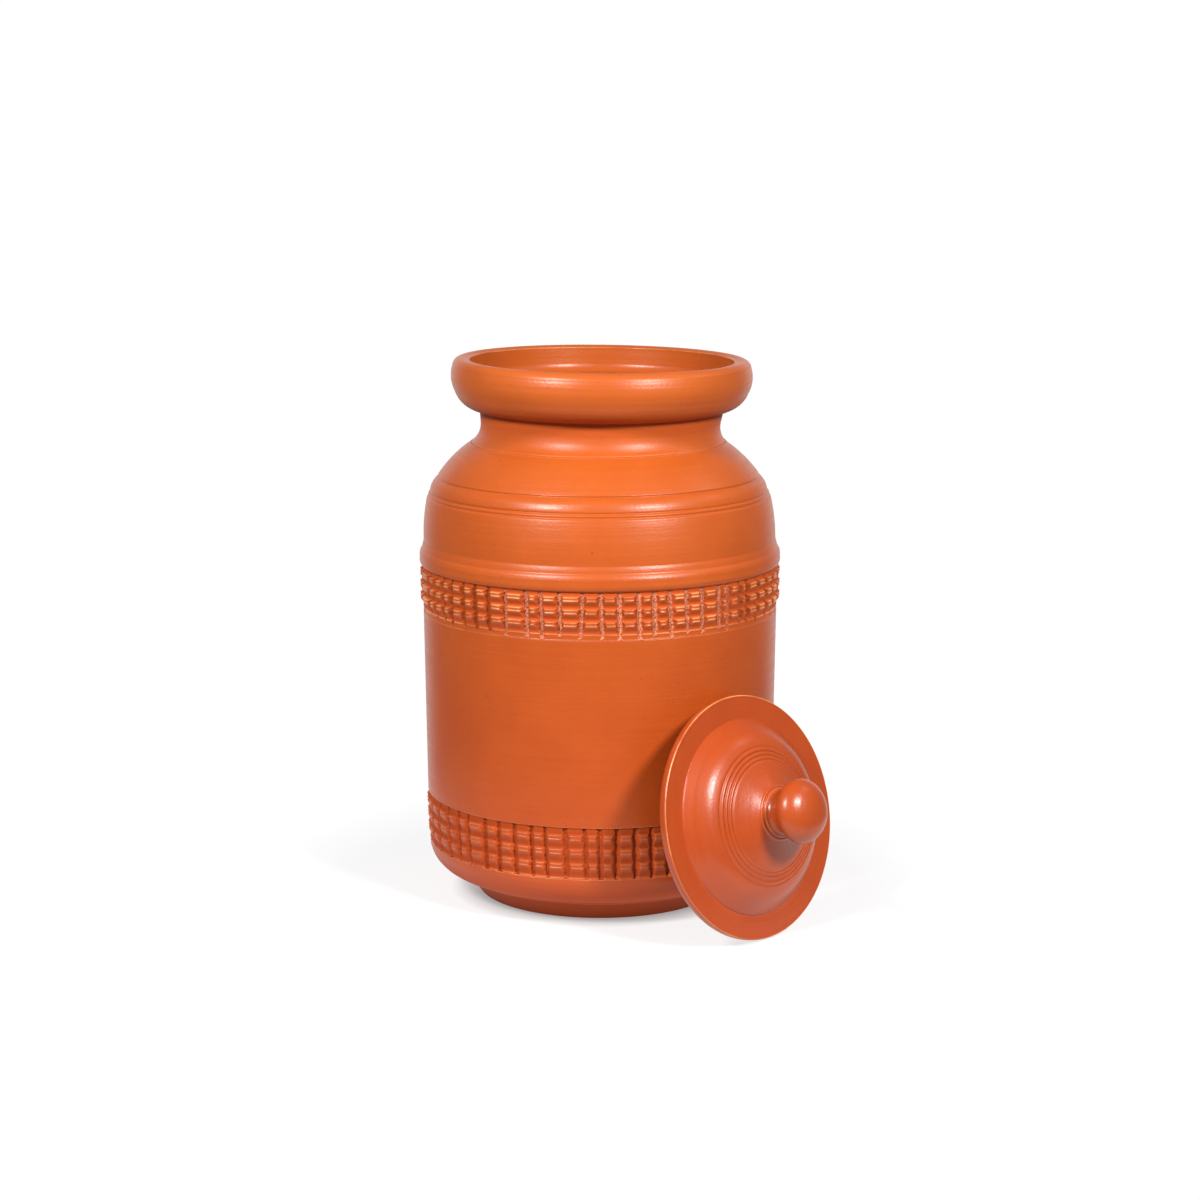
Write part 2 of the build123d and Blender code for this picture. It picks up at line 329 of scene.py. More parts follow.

# Linear colours of the clay. It is painted paler and yellower high up, a painted light that stands in for
# the brighter light there. It differs where it is unburnished or torn, and its pale edges are partly wear
# and partly painted highlight. The tones darken the lid a little, and paint shade on the foot under the
# heel.
LOW_ORANGES = ((0.340, 0.0430, 0.0045, 1), (0.385, 0.0530, 0.0060, 1))
HIGH_ORANGES = ((0.380, 0.0690, 0.0083, 1), (0.428, 0.0850, 0.0116, 1))
PAINTED_LIGHT_HEIGHT = 290.0
RAW_PINK = (0.70, 0.235, 0.122, 1)
RAW_GREY = (0.27, 0.065, 0.034, 1)
UNBURNISHED = (0.50, 0.058, 0.0062, 1)
UNBURNISHED_SHARE = 0.35
EDGE_WEAR_AND_HIGHLIGHT = (0.74, 0.30, 0.11, 1)
# Painted shade: the foot's tone darkens it under the heel's overhang; the lid's tones darken it a little
TONES = {"lid": 0.96, "lid_knob": 0.95, "foot": 0.85}

# The clay's surface. Each noise is (cells a metre, detail, roughness); the streaks run round the jar,
# so they have few cells that way and many along the outline. A span is the part of a noise that is
# used.
STREAK_CELLS_ROUND = 9.0
STREAK_CELLS_ALONG = 700.0
STREAK_NOISE = (1.0, 4.0, 0.6)
MOTTLE_NOISE = (22.0, 5.0, 0.6)
GRAIN_NOISE = (600.0, 3.0, 0.55)
PORE_NOISE = (330.0, 2.0, 0.55)
GRIT_NOISE = (1300.0, 3.0, 0.7)
MOTTLE_SHARE = 0.8
SHADE_SPAN = (0.33, 0.67)
GRIT_SPAN = (0.40, 0.60)
WEAR_AND_HIGHLIGHT_SPAN = (0.42, 0.58)
LEAST_WEAR_AND_HIGHLIGHT = 0.2
PORE_SPAN = (0.73, 0.78)
PORE_TONE = 0.7
POLISH_SPAN = (0.3, 0.7)
POLISH_ROUGHNESS = (0.31, 0.38)
DULL_ROUGHNESS = 0.35
JAR_SHINE = 0.37
DULL_SHINE = 0.15
LID_EXTRA_SHINE = 0.13
LID_STREAK_RELIEF = 0.2
JAR_STREAK_RELIEF = 1.3
GRAIN_RELIEF = 1.2
GRIT_RELIEF = 2.0
RELIEF_STRENGTH = 0.35
RELIEF_DEPTH = 0.2

# Light: soft boxes, each at (azimuth to the right of the camera, elevation, size, power), and a room
# that is white low down behind the jar and dim elsewhere. Its spans are of how far a direction points to
# the camera, and of how far it points up.
SOFT_BOXES = {
    "left_box": (-36, 33.5, 240.0, 17.2),
    "right_box": (37, 31.5, 240.0, 17.4),
    "side_box": (95, 42, 240.0, 0.6),
}
BOX_DISTANCE = 1250.0
ROOM_WHITE = 1.02
ROOM_DIM = 0.22
ROOM_BEHIND_SPAN = (-0.87, -0.70)
ROOM_LOW_SPAN = (0.2, 0.5)

# Floor: white paper that glows more away from the jar, over two spans of the distance from its middle
FLOOR_RADIUS = 280.0
FLOOR_GREY = (0.22, 0.22, 0.22, 1)
FLOOR_ROUGHNESS = 0.9
FLOOR_SHINE = 0.1
# Painted contact shadow: over the first span the floor glows less, close round the foot
FLOOR_PAINTED_SHADOW_SPAN = (70.0, 86.0)
FLOOR_FAR_SPAN = (150.0, 280.0)
FLOOR_GLOW_IN_PAINTED_SHADOW = 0.35
FLOOR_GLOW = 0.74
FLOOR_GLOW_FAR = 0.90

rng = np.random.default_rng(SEED)


# Helpers

def smooth_step(low, high, value):
    share = np.clip((value - low) / (high - low), 0, 1)
    return share * share * (3 - 2 * share)


def smooth_min(a, b, blend):
    return np.minimum(a, b) - blend * np.log1p(np.exp(-np.abs(a - b) / blend))


def add_object(name, data):
    piece = bpy.data.objects.new(name, data)
    bpy.context.scene.collection.objects.link(piece)
    return piece


# Outlines and rows

def arc_points(start, end, bulge_share):
    """Points from start up to, but not at, end: on a line, or on an arc that bulges to the right."""
    start, end = np.array(start, float), np.array(end, float)
    chord = end - start
    length = np.hypot(*chord)
    forward = chord / length
    right = np.array([forward[1], -forward[0]])
    count = max(2, ceil(length * (1 + abs(bulge_share)) / DENSE_STEP))
    share = np.arange(count) / count
    if bulge_share == 0:
        return start + share[:, None] * chord
    half = 2 * atan(2 * abs(bulge_share))
    radius = length / (2 * sin(half))
    angle = half * (2 * share - 1)
    ahead = length / 2 + radius * np.sin(angle)
    aside = np.sign(bulge_share) * radius * (np.cos(angle) - cos(half))
    return start + ahead[:, None] * forward + aside[:, None] * right


def dense_outline(outline, closed):
    """Radius, height and raw share at close steps along an outline, with its corners still sharp."""
    ends = outline[1:] + (outline[:1] if closed else [])
    points, raw = [], []
    for here, there in zip(outline, ends):
        stretch = arc_points(here[:2], there[:2], here[2])
        points.append(stretch)
        raw.append(np.full(len(stretch), float(here[3])))
    if not closed:
        points.append(np.array([outline[-1][:2]], float))
        raw.append(np.array([float(outline[-1][3])]))
    points = np.vstack(points)
    return points[:, 0], points[:, 1], np.concatenate(raw)


def rounded(values, closed):
    """Values along an outline, each averaged with its neighbours, which rounds the corners."""
    reach = ceil(ROUNDINGS_REACHED * EDGE_ROUNDING / DENSE_STEP)
    weights = np.exp(-0.5 * (np.arange(-reach, reach + 1) * DENSE_STEP / EDGE_ROUNDING) ** 2)
    weights /= weights.sum()
    if closed:
        padded = np.pad(values, reach, mode="wrap")
    else:
        padded = np.pad(values, reach, mode="reflect", reflect_type="odd")
    return np.convolve(padded, weights, mode="valid")


def rows_of(outline, closed):
    """Radius, height, length along, raw share and pale-edge share (wear and painted highlight) of each
    row: close together where it turns.
    """
    radius, height, raw = (rounded(values, closed) for values in dense_outline(outline, closed))
    raw = np.clip(raw, 0, 1)
    along_r = np.gradient(radius)
    along_z = np.gradient(height)
    step = np.hypot(along_r, along_z)
    heading = np.unwrap(np.arctan2(along_z, along_r))
    turning = np.gradient(heading)
    longest = FINISHED_ROW + (ROUGH_ROW - FINISHED_ROW) * raw
    cost = np.cumsum(step / longest + np.abs(turning) / TURN_PER_ROW)
    chosen = np.flatnonzero(np.diff(np.floor(cost), prepend=-1) > 0)
    if not closed:
        chosen = np.unique(np.append(chosen, len(radius) - 1))
        radius[0] = radius[-1] = 0
    length = np.cumsum(step)
    # Sharp convex edges get the pale colour: partly wear, partly painted highlight
    wear_and_highlight = smooth_step(*WEAR_AND_HIGHLIGHT_TURNS, turning / np.maximum(step, LEAST_STEP))
    return [values[chosen] for values in (radius, height, length, raw, wear_and_highlight)]


# Meshes

def grid_mesh(node, points, layers, closed):
    """A mesh of rows and columns that closes round its columns, and round its rows or in two poles."""
    rows, columns = points.shape[:2]
    index = np.arange(rows * columns).reshape(rows, columns)
    below, above = index, np.roll(index, -1, axis=0)
    if not closed:
        index[0], index[-1] = index[0, 0], index[-1, 0]
        below, above = index[:-1], index[1:]
    corners = [below, np.roll(below, -1, axis=1), np.roll(above, -1, axis=1), above]
    quads = np.stack([corner.ravel() for corner in corners], axis=1)
    used, compact = np.unique(quads, return_inverse=True)
    faces = []
    for quad in compact.reshape(-1, 4).tolist():
        # At a pole two corners are one point, which leaves a triangle
        faces.append([corner for place, corner in enumerate(quad) if corner != quad[place - 1]])
    mesh = bpy.data.meshes.new(node + "_clay")
    mesh.from_pydata((points.reshape(-1, 3)[used] * MM).tolist(), [], faces)
    wear_and_highlight = layers["wear_and_highlight"] * WEAR_AND_HIGHLIGHT_SHARES.get(node, 0)
    for attribute, values in {**layers, "wear_and_highlight": wear_and_highlight}.items():
        values = np.broadcast_to(values, (rows, columns)).ravel()[used]
        layer = mesh.attributes.new(attribute, "FLOAT", "POINT")
        layer.data.foreach_set("value", values.astype(np.float32))
    mesh.shade_smooth()
    mesh.update()
    return add_object(node + "_clay", mesh)


# Turned pieces

def handmade(points):
    """The jar's own unevenness: the same for all its pieces, so that they still meet."""
    x, y, z = np.moveaxis(points, -1, 0)
    angle = np.arctan2(y, x)
    radius = np.hypot(x, y)
    above = smooth_step(0, WANDER_BASE, z)
    radius = radius - OVAL * np.cos(2 * angle) * above * smooth_step(0, OVAL, radius)
    lean = np.interp(z, LEAN_HEIGHTS, LEAN_SHIFTS)
    upper = smooth_step(*RIM_TILT_HEIGHTS, z)
    right = radians(CAMERA_AZIMUTH)
    waves = np.sin(angle + WANDER_START) + WANDER_TWICE_SHARE * np.sin(2 * angle)
    tilt = RIM_TILT_SIDE * np.cos(angle - right) + RIM_TILT_BACK * np.sin(angle - right)
    return np.stack([
        radius * np.cos(angle) + lean * cos(right),
        radius * np.sin(angle) + lean * sin(right),
        z + LINE_WANDER * above * waves + tilt * radius * upper,
    ], axis=-1)


def wheel_marks(along, raw, angle):
    """How far the wheel's marks stand out of the turned outline."""
    marks = 0
    for pitch in MARK_PITCHES:
        drift = MARK_DRIFT * np.sin(angle + rng.uniform(0, 2 * pi)) + rng.uniform(0, 2 * pi)
        marks = marks + np.sin(2 * pi * along / pitch + drift)
    rings = 1 + np.sin(2 * pi * along / THROWING_RING_PITCH - angle)
    rings = THROWING_RING_HEIGHT * rings / 2 * (raw > THROWING_RING_RAW)
    return MARK_HEIGHT * marks * (1 - raw) - rings


def turned(outline, closed):
    """Points of a piece turned on the wheel, about Z, and the layers that its clay goes by."""
    radius, height, along, raw, wear_and_highlight = (values[:, None] for values in rows_of(outline, closed))
    angle = np.linspace(0, 2 * pi, COLUMNS, endpoint=False)[None, :]
    heading_r, heading_z = np.gradient(radius[:, 0]), np.gradient(height[:, 0])
    length = np.hypot(heading_r, heading_z)
    out_r, out_z = (heading_z / length)[:, None], (-heading_r / length)[:, None]
    marks = wheel_marks(along, raw, angle) * smooth_step(0, MARK_FADE_RADIUS, radius)
    radius = radius + marks * out_r
    height = height + marks * out_z
    points = np.stack([radius * np.cos(angle), radius * np.sin(angle), height], axis=-1)
    return points, {"along": along * MM, "raw": INSIDE_RAW_SHARE * raw, "wear_and_highlight": wear_and_highlight, "dull": raw}


def jar_piece(node, outline, closed):
    """A turned piece of the jar: dull at heel and throat, with painted shade in the cup and on the foot,
    and uneven by hand.
    """
    points, layers = turned(outline, closed)
    heel = HEEL_DULLNESS * smooth_step(HEEL_TOP, HEEL_MIDDLE, points[..., 2])
    throat = THROAT_DULLNESS * np.exp(-(((points[..., 2] - THROAT_HEIGHT) / THROAT_REACH) ** 2))
    layers["dull"] = np.maximum(layers["dull"], np.maximum(heel, throat))
    radius = np.hypot(points[..., 0], points[..., 1])
    # Painted shade: the cup inside the rim, and the foot through its tone, are darkened
    cup_shade = smooth_step(*CUP_RADII, radius) * smooth_step(*CUP_HEIGHTS, points[..., 2])
    layers["tone_and_painted_shade"] = TONES.get(node, 1.0) * (1 - (1 - CUP_SHADE_TONE) * cup_shade)
    return grid_mesh(node, handmade(points), layers, closed)


# Carved bands

def angle_of_pixel(pixel, radius, height):
    """Angle round the jar, in radians, of a point on its front that the photograph shows at a pixel."""
    across = (pixel - PICTURE_PX / 2) / FOCAL_PX
    pitch = radians(CAMERA_PITCH)
    turn = 0.0
    for _ in range(AIMING_ROUNDS):
        level = CAMERA_DISTANCE - radius * cos(turn)
        ahead = level * cos(pitch) + (CAMERA_HEIGHT - height) * sin(pitch)
        turn = np.arcsin(np.clip(across * ahead / radius, -1, 1))
    return FRONT_ANGLE + turn


def notch_angles(pixels, radius, height):
    """Angles of all notches, in order: those the photograph shows, then uneven ones round the back."""
    seen = [angle_of_pixel(pixel, radius, height) for pixel in pixels]
    rest = 2 * pi - (seen[-1] - seen[0])
    count = round(rest / radians(NOTCH_GAP))
    gaps = 1 + NOTCH_GAP_SPREAD_SHARE * rng.uniform(-1, 1, count)
    hidden = seen[-1] + np.cumsum(gaps * rest / gaps.sum())[:-1]
    return np.concatenate([seen, hidden])


def draw_notches(band, base, radius, middle):
    """Each notch's angle, and what sets it apart from the others, drawn in this order."""
    angle = notch_angles(band["notches_px"], radius, middle)
    count = len(angle)
    return {
        "angle": angle,
        "half_floor": band["half_floor"] * rng.uniform(*NOTCH_SPREAD_SHARES, count),
        "wall_slope": rng.uniform(*NOTCH_WALL_SLOPES, count),
        "bevel_slope": rng.uniform(*NOTCH_BEVEL_SLOPES, count),
        "flank_slope": rng.uniform(*NOTCH_FLANK_SLOPES, count),
        "tilt": NOTCH_TILT + NOTCH_TILT_SPREAD * rng.normal(size=count),
        "depth": band["depth"] * rng.uniform(*NOTCH_SPREAD_SHARES, count),
        "end": base + band["lip"] * rng.uniform(*NOTCH_END_SHARES, count),
        "burr": BURR_HEIGHT * rng.uniform(*BURR_SHARES, count),
    }


def notch_columns(centres, radius):
    """Angle of each column, its nearest notch and how far off that is: closest across a notch."""
    offsets = sorted({sign * off for off in NOTCH_COLUMNS for sign in (-1, 1)})
    columns = []
    for notch, centre in enumerate(centres):
        following = (notch + 1) % len(centres)
        ahead = (centres[following] - centre) % (2 * pi) * radius
        reach = min(offsets[-1], ahead / 2)
        between = np.arange(reach + BETWEEN_COLUMN, ahead - reach - BETWEEN_COLUMN / 2, BETWEEN_COLUMN)
        for off in [off for off in offsets if abs(off) <= reach] + list(between):
            if off < ahead / 2:
                columns.append((centre + off / radius, notch, off))
            else:
                columns.append((centre + off / radius, following, off - ahead))
    return [np.array(values) for values in zip(*sorted(columns))]


def crest_edges(band, base):
    """Heights of the beads' base, the lip's top and the top crest's top, and the gap between crests."""
    beads_base = base + band["lip"]
    lip_edge = beads_base - band["pitch"] / 2 + band["half_crest"]
    top_edge = beads_base + (BEAD_ROWS - 0.5) * band["pitch"] + band["half_crest"]
    return beads_base, lip_edge, top_edge, band["pitch"] - 2 * band["half_crest"]


def band_rows(band, base, top):
    """Heights of a band's rows: close together at the two edges of each crest."""
    beads_base, lip_edge, top_edge, between = crest_edges(band, base)
    half_crest = band["half_crest"]
    offsets = [share * half_crest for share in CREST_ROW_SHARES]
    offsets += [-half_crest - share * between for share in HOLLOW_ROW_SHARES]
    rows = [base + up for up in LIP_ROWS]
    for row in range(BEAD_ROWS):
        crest = beads_base + (row + 0.5) * band["pitch"]
        rows += [crest + off for off in offsets]
    step_top = top_edge + between * (1 - HOLLOW_STEP_SHARE)
    for low, high in ((base + LIP_ROWS[-1], lip_edge), (top_edge, step_top), (step_top, top)):
        rows += list(np.linspace(low, high, ceil(abs(high - low) / PLAIN_ROW) + 1))
    return np.unique(np.round(rows, ROW_DECIMALS))[:, None]


def bead_rise(height, band, base, ragged):
    """How far the uncut band stands out of the wall at a height, how hollow it is, and how pale its crest
    edges are: partly wear, partly painted highlight.
    """
    beads_base, lip_edge, top_edge, between = crest_edges(band, base)
    pitch, half_crest, lip_rise = band["pitch"], band["half_crest"], band["lip_rise"]
    up = (((height - beads_base) / pitch % 1) - 0.5) * pitch
    below = np.where(up > 0, pitch - up, -up) - half_crest
    share = np.clip(below / between, 0, 1)
    share = np.where(height > top_edge + between / 2, HOLLOW_STEP_SHARE, share)
    share = np.where(height > top_edge, np.maximum(share, HOLLOW_FALL_SHARE), share)
    hollow = smooth_step(0, HOLLOW_FALL_SHARE, share) * smooth_step(1, HOLLOW_STEP_SHARE, share)
    crest = np.where(height < lip_edge + between * (1 - HOLLOW_STEP_SHARE), lip_rise, band["crest"])
    edges = np.exp(-(((np.abs(up) - half_crest) / CREST_EDGE_WIDTH) ** 2))
    edges = edges * smooth_step(lip_edge - 2 * CREST_EDGE_WIDTH, lip_edge, height)
    edges = edges * smooth_step(top_edge + 2 * CREST_EDGE_WIDTH, top_edge, height)
    ledge = -lip_rise * smooth_step(LIP_LEDGE, 0, height - base - ragged)
    rise = crest + (band["valley"] - crest) * hollow + CREST_EDGE_RISE * edges + ledge
    return rise, hollow, edges


def gouge_notches(uncut, wall, height, band, notches, notch, off):
    """The band's radius once its notches are gouged, how cut it is, and how high on a notch's side."""
    own = {name: values[notch] for name, values in notches.items()}
    for wave in NOTCH_WAVES:
        phase = rng.uniform(0, 2 * pi, len(notches["angle"]))[notch]
        off = off + NOTCH_WAVE_HEIGHT * np.sin(2 * pi * height / wave + phase)
    beyond = np.maximum(np.abs(off) - own["half_floor"], 0)
    left = np.minimum(beyond * own["wall_slope"], NOTCH_WALL_HEIGHT + beyond * own["bevel_slope"])
    sides = np.where(off < 0, left, beyond * own["flank_slope"])
    floor_rise = NOTCH_FLOOR_RISE * np.clip(off, -own["half_floor"], own["half_floor"])
    floor = wall + band["valley"] - own["depth"] + floor_rise
    exit_rise = np.maximum(own["end"] - height, 0) * NOTCH_END_SLOPE
    gouge = floor + sides + exit_rise
    over = uncut - gouge
    blend = band["blend"]
    cut = smooth_step(0, CUT_BLENDS * blend, over)

    grit = band["grit"] * rng.normal(size=over.shape) * smooth_step(GRIT_REACH, 0, sides)
    edge_burr = EDGE_BURR_HEIGHT * np.exp(-((over / (EDGE_BURR_BLENDS * blend)) ** 2))
    edge_burr = edge_burr * rng.uniform(0, 1, over.shape)
    below_end = (height - own["end"] + BURR_SIZE) / BURR_SIZE
    end_burr = own["burr"] * np.exp(-((off / BURR_SIZE) ** 2) - below_end ** 2)
    end_burr = end_burr * rng.uniform(*BURR_ROUGH_SHARES, over.shape)
    surface = smooth_min(uncut, gouge, blend) + grit * cut + edge_burr + end_burr
    return surface, cut, sides


def carved_band(node):
    """A band of beads with hand-cut notches: rows of points out of which the notches are gouged."""
    band = BANDS[node]
    low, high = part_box(node)
    base, top = low.z / MM, high.z / MM
    middle = (base + top) / 2
    wall_low, wall_high = band["wall"]
    middle_radius = (wall_low + wall_high) / 2 + band["crest"]
    notches = draw_notches(band, base, middle_radius, middle)
    angle, notch, off = notch_columns(notches["angle"], middle_radius)
    columns = len(angle)

    height = band_rows(band, base, top)
    share = (height - base) / (top - base)
    wall = wall_low + (wall_high - wall_low) * share
    ragged = LIP_RAGGED * rng.uniform(0, 1, columns)
    rise, hollow, wear_and_highlight = bead_rise(height, band, base, ragged)
    surface, cut, sides = gouge_notches(wall + rise, wall, height, band, notches, notch, off)
    from_front = (angle - FRONT_ANGLE + pi) % (2 * pi) - pi
    torn = smooth_step(*TORN_LEFT, from_front) * smooth_step(*TORN_RIGHT, from_front)
    raw = torn * cut * smooth_step(RAW_REACH, 0, sides) * band["raw_share"]
    # Painted shade in the hollows and in the notches, where the clay is not raw
    shade = (1 - band["hollow_shade_tone"]) * hollow + band["cut_shade"] * cut
    tilt = np.interp(angle, notches["angle"], notches["tilt"], period=2 * pi)
    turn = angle + tilt * (height - middle) / middle_radius

    # Two rows that do not show close the band, where it sits in the wall: at its top, then at its base
    seat = np.array([[wall_high - BAND_SEAT_DEPTH], [wall_low - BAND_SEAT_DEPTH]])
    surface = np.vstack([surface, np.broadcast_to(seat, (2, columns))])
    turn = np.vstack([turn, turn[-1:], turn[:1]])
    height = np.vstack([height, [[top], [base]]])
    unseen = np.ones((2, columns))
    layers = {
        "along": height * MM,
        "raw": np.vstack([raw, unseen]),
        "dull": np.vstack([np.maximum(cut, hollow), unseen]),
        "tone_and_painted_shade": np.vstack([1 - (1 - raw) * shade, unseen]),
        # Crest edges get the pale colour: partly wear, partly painted highlight
        "wear_and_highlight": np.vstack([wear_and_highlight * (1 - cut), unseen]),
    }
    z = np.broadcast_to(height, surface.shape)
    points = np.stack([surface * np.cos(turn), surface * np.sin(turn), z], axis=-1)
    return grid_mesh(node, handmade(points), layers, closed=True)


# Lid

def lid_frame():
    """Where the lid's own axes lie in the frame: on its axis, at the underside of its brim."""
    axis = Vector(frame["joints"][0]["axis"]).normalized()
    turn = axis.to_track_quat("Z", "Y").to_matrix()
    places = np.array([vertex.co for vertex in frame["nodes"]["lid"].data.vertices])
    local = places @ np.array(turn)
    low, high = local.min(0), local.max(0)
    centre = Vector(((low[0] + high[0]) / 2, (low[1] + high[1]) / 2, low[2] + FLANGE_DEPTH * MM))
    return Matrix.Translation(turn @ centre) @ turn.to_4x4()


def knob_outline():
    """The knob's stem, then its flattened ball."""
    start = -np.arccos(KNOB_JOIN_RADIUS / KNOB_RADIUS)
    ball = []
    for turn in np.linspace(start, pi / 2, KNOB_STEPS)[:-1]:
        reach = KNOB_OUTER_HEIGHT if turn > 0 else KNOB_INNER_HEIGHT
        ball.append((KNOB_RADIUS * cos(turn), KNOB_MIDDLE + reach * sin(turn), 0, 0))
    return KNOB_STEM_OUTLINE + ball + [(0, KNOB_MIDDLE + KNOB_OUTER_HEIGHT, 0, 0)]


def lid_piece(node, outline):
    """A turned piece of the lid, put in the lid's place. Its knob leans a little upward."""
    points, layers = turned(outline, closed=False)
    layers["tone_and_painted_shade"] = TONES[node]
    layers["dull"] = layers["dull"] - LID_GLOSS
    place = lid_frame()
    upward = (place.to_3x3().inverted() @ Vector((0, 0, 1))).xy.normalized()
    lean = KNOB_LEAN * smooth_step(*KNOB_LEAN_HEIGHTS, points[..., 2:])
    points[..., :2] += lean * np.array(upward)
    piece = grid_mesh(node, points, layers, closed=False)
    piece.matrix_world = place
    return piece


# Materials

class Nodes:
    """Short ways to add and join the nodes of one material."""

    def __init__(self, tree):
        self.tree = tree

    def add(self, kind, inputs=None, **settings):
        node = self.tree.nodes.new(kind)
        for name, value in settings.items():
            setattr(node, name, value)
        for name, value in (inputs or {}).items():
            if isinstance(value, bpy.types.NodeSocket):
                self.tree.links.new(value, node.inputs[name])
            else:
                node.inputs[name].default_value = value
        return node

    def attribute(self, name):
        return self.add("ShaderNodeAttribute", attribute_name=name).outputs["Fac"]

    def math(self, operation, a, b):
        return self.add("ShaderNodeMath", {0: a, 1: b}, operation=operation).outputs[0]

    def add_up(self, first, *others):
        for other in others:
            first = self.math("ADD", first, other)
        return first

    def mix(self, share, a, b):
        """A mix of two colours, whose sockets come after those for numbers and vectors."""
        return self.add("ShaderNodeMix", {0: share, 6: a, 7: b}, data_type="RGBA").outputs[2]

    def span(self, value, low, high, new_low=0.0, new_high=1.0):
        old = {"Value": value, "From Min": low, "From Max": high}
        return self.add("ShaderNodeMapRange", {**old, "To Min": new_low, "To Max": new_high}).outputs[0]

    def noise(self, vector, scale, detail, roughness):
        inputs = {"Vector": vector, "Scale": scale, "Detail": detail, "Roughness": roughness}
        return self.add("ShaderNodeTexNoise", inputs).outputs[0]


def fired_clay(name):
    """Burnished terracotta with the wheel's streaks, and gritty raw clay where a layer marks it raw."""
    material = bpy.data.materials.new(name)
    material.use_nodes = True
    material.node_tree.nodes.clear()
    n = Nodes(material.node_tree)
    place = n.add("ShaderNodeTexCoord").outputs["Object"]
    raw, dull = n.attribute("raw"), n.attribute("dull")

    # Noise
    x, y, height = n.add("ShaderNodeSeparateXYZ", {0: place}).outputs
    round_ways = n.add("ShaderNodeCombineXYZ", {
        "X": n.math("MULTIPLY", x, STREAK_CELLS_ROUND),
        "Y": n.math("MULTIPLY", y, STREAK_CELLS_ROUND),
        "Z": n.math("MULTIPLY", n.attribute("along"), STREAK_CELLS_ALONG),
    }).outputs[0]
    streaks = n.noise(round_ways, *STREAK_NOISE)
    mottle = n.noise(place, *MOTTLE_NOISE)
    grain = n.noise(place, *GRAIN_NOISE)
    pores = n.span(n.noise(place, *PORE_NOISE), *PORE_SPAN)
    grit = n.noise(place, *GRIT_NOISE)

    # Colour
    mottled = n.math("MULTIPLY", mottle, MOTTLE_SHARE)
    streaked = n.math("MULTIPLY", streaks, 1 - MOTTLE_SHARE)
    shade = n.span(n.add_up(mottled, streaked), *SHADE_SPAN)
    # Painted light: the clay is paler and yellower toward the top, standing in for the brighter light
    # there
    painted_top_light = n.span(height, 0.0, PAINTED_LIGHT_HEIGHT * MM)
    burnished = n.mix(painted_top_light, n.mix(shade, *LOW_ORANGES), n.mix(shade, *HIGH_ORANGES))
    unburnished = n.span(dull, 0.0, 1.0, 0.0, UNBURNISHED_SHARE)
    # Pale edges: partly wear, partly a painted highlight along the edges
    wear_and_highlight = n.math("MULTIPLY", n.attribute("wear_and_highlight"), n.span(mottle, *WEAR_AND_HIGHLIGHT_SPAN, LEAST_WEAR_AND_HIGHLIGHT, 1.0))
    clay = n.mix(wear_and_highlight, n.mix(unburnished, burnished, UNBURNISHED), EDGE_WEAR_AND_HIGHLIGHT)
    raw_clay = n.mix(n.span(grit, *GRIT_SPAN), RAW_GREY, RAW_PINK)
    # The tone layer darkens the clay: painted shade in the cup, on the foot and in the bands' hollows and
    # notches, a little on the lid, and the pores
    tone_and_painted_shade = n.math("MULTIPLY", n.attribute("tone_and_painted_shade"), n.span(pores, 0.0, 1.0, 1.0, PORE_TONE))
    colour = n.mix(tone_and_painted_shade, (0, 0, 0, 1), n.mix(raw, clay, raw_clay))

    # Gloss
    polish = n.span(streaks, *POLISH_SPAN, *POLISH_ROUGHNESS)
    roughness = n.add_up(polish, n.math("MULTIPLY", dull, DULL_ROUGHNESS))
    shine = n.span(dull, 0.0, 1.0, JAR_SHINE, DULL_SHINE)
    shine = n.add_up(shine, n.span(dull, -LID_GLOSS, 0.0, LID_EXTRA_SHINE, 0.0))

    # Relief
    streak_height = n.span(dull, -LID_GLOSS, 0.0, LID_STREAK_RELIEF, JAR_STREAK_RELIEF)
    relief = n.add_up(
        n.math("MULTIPLY", streaks, streak_height),
        n.math("MULTIPLY", grain, GRAIN_RELIEF),
        n.math("MULTIPLY", n.math("MULTIPLY", grit, raw), GRIT_RELIEF),
    )
    bump = {"Height": relief, "Strength": RELIEF_STRENGTH, "Distance": RELIEF_DEPTH * MM}
    shader = n.add("ShaderNodeBsdfPrincipled", {
        "Base Color": colour,
        "Roughness": roughness,
        "Specular IOR Level": shine,
        "Normal": n.add("ShaderNodeBump", bump).outputs[0],
    })
    n.add("ShaderNodeOutputMaterial", {"Surface": shader.outputs[0]})
    return material


def floor_material():
    """White paper that glows a little, more so away from the jar, so that it runs into the room. Close
    round the foot its glow is lower: a painted contact shadow.
    """
    material = bpy.data.materials.new("pale_floor")
    material.use_nodes = True
    n = Nodes(material.node_tree)
    place = n.add("ShaderNodeTexCoord").outputs["Object"]
    away = n.add("ShaderNodeVectorMath", {0: place}, operation="LENGTH").outputs["Value"]
    near_low, near_high = (radius * MM for radius in FLOOR_PAINTED_SHADOW_SPAN)
    far_low, far_high = (radius * MM for radius in FLOOR_FAR_SPAN)
    # The lower glow near the foot is a painted contact shadow
    shadowed_glow = n.span(away, near_low, near_high, FLOOR_GLOW_IN_PAINTED_SHADOW, FLOOR_GLOW)
    far = n.span(away, far_low, far_high, 0.0, FLOOR_GLOW_FAR - FLOOR_GLOW)
    shader = material.node_tree.nodes["Principled BSDF"]
    shader.inputs["Base Color"].default_value = FLOOR_GREY
    shader.inputs["Roughness"].default_value = FLOOR_ROUGHNESS
    shader.inputs["Specular IOR Level"].default_value = FLOOR_SHINE
    shader.inputs["Emission Color"].default_value = (1, 1, 1, 1)
    material.node_tree.links.new(n.add_up(shadowed_glow, far), shader.inputs["Emission Strength"])
    return material


# Pieces

